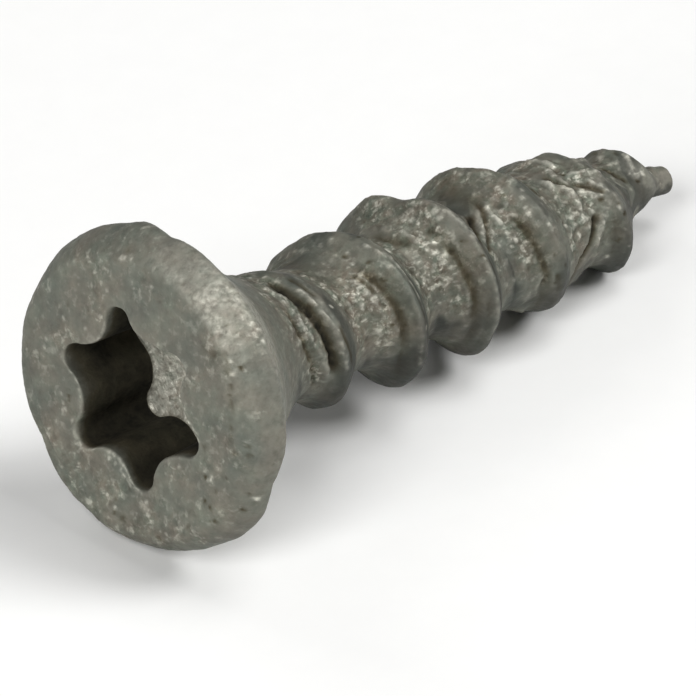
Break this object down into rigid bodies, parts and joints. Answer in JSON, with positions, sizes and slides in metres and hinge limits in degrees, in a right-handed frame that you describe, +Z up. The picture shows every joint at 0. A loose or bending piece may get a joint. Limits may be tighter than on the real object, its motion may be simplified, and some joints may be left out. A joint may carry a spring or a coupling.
{
  "type": "multi-purpose screw",
  "caption": "Short countersunk wood screw with a six-lobe recess, a coarse tapering thread and a blunt nub at its point, lying on its side.",
  "frame": {"origin": "on the floor, under the middle of the bounding box of the screw as it lies", "axes": "+Z up, +X towards the point of the screw, whose axis lies in the XZ plane and dips about 9 degrees towards the point"},
  "size_m": [0.0198, 0.0082, 0.0082],
  "materials": {
    "steel": "dull grey zinc-rich coat with a sandy grain, brownish in the grooves"
  },
  "bodies": {
    "root": {"screw": "steel"}
  },
  "joints": []
}
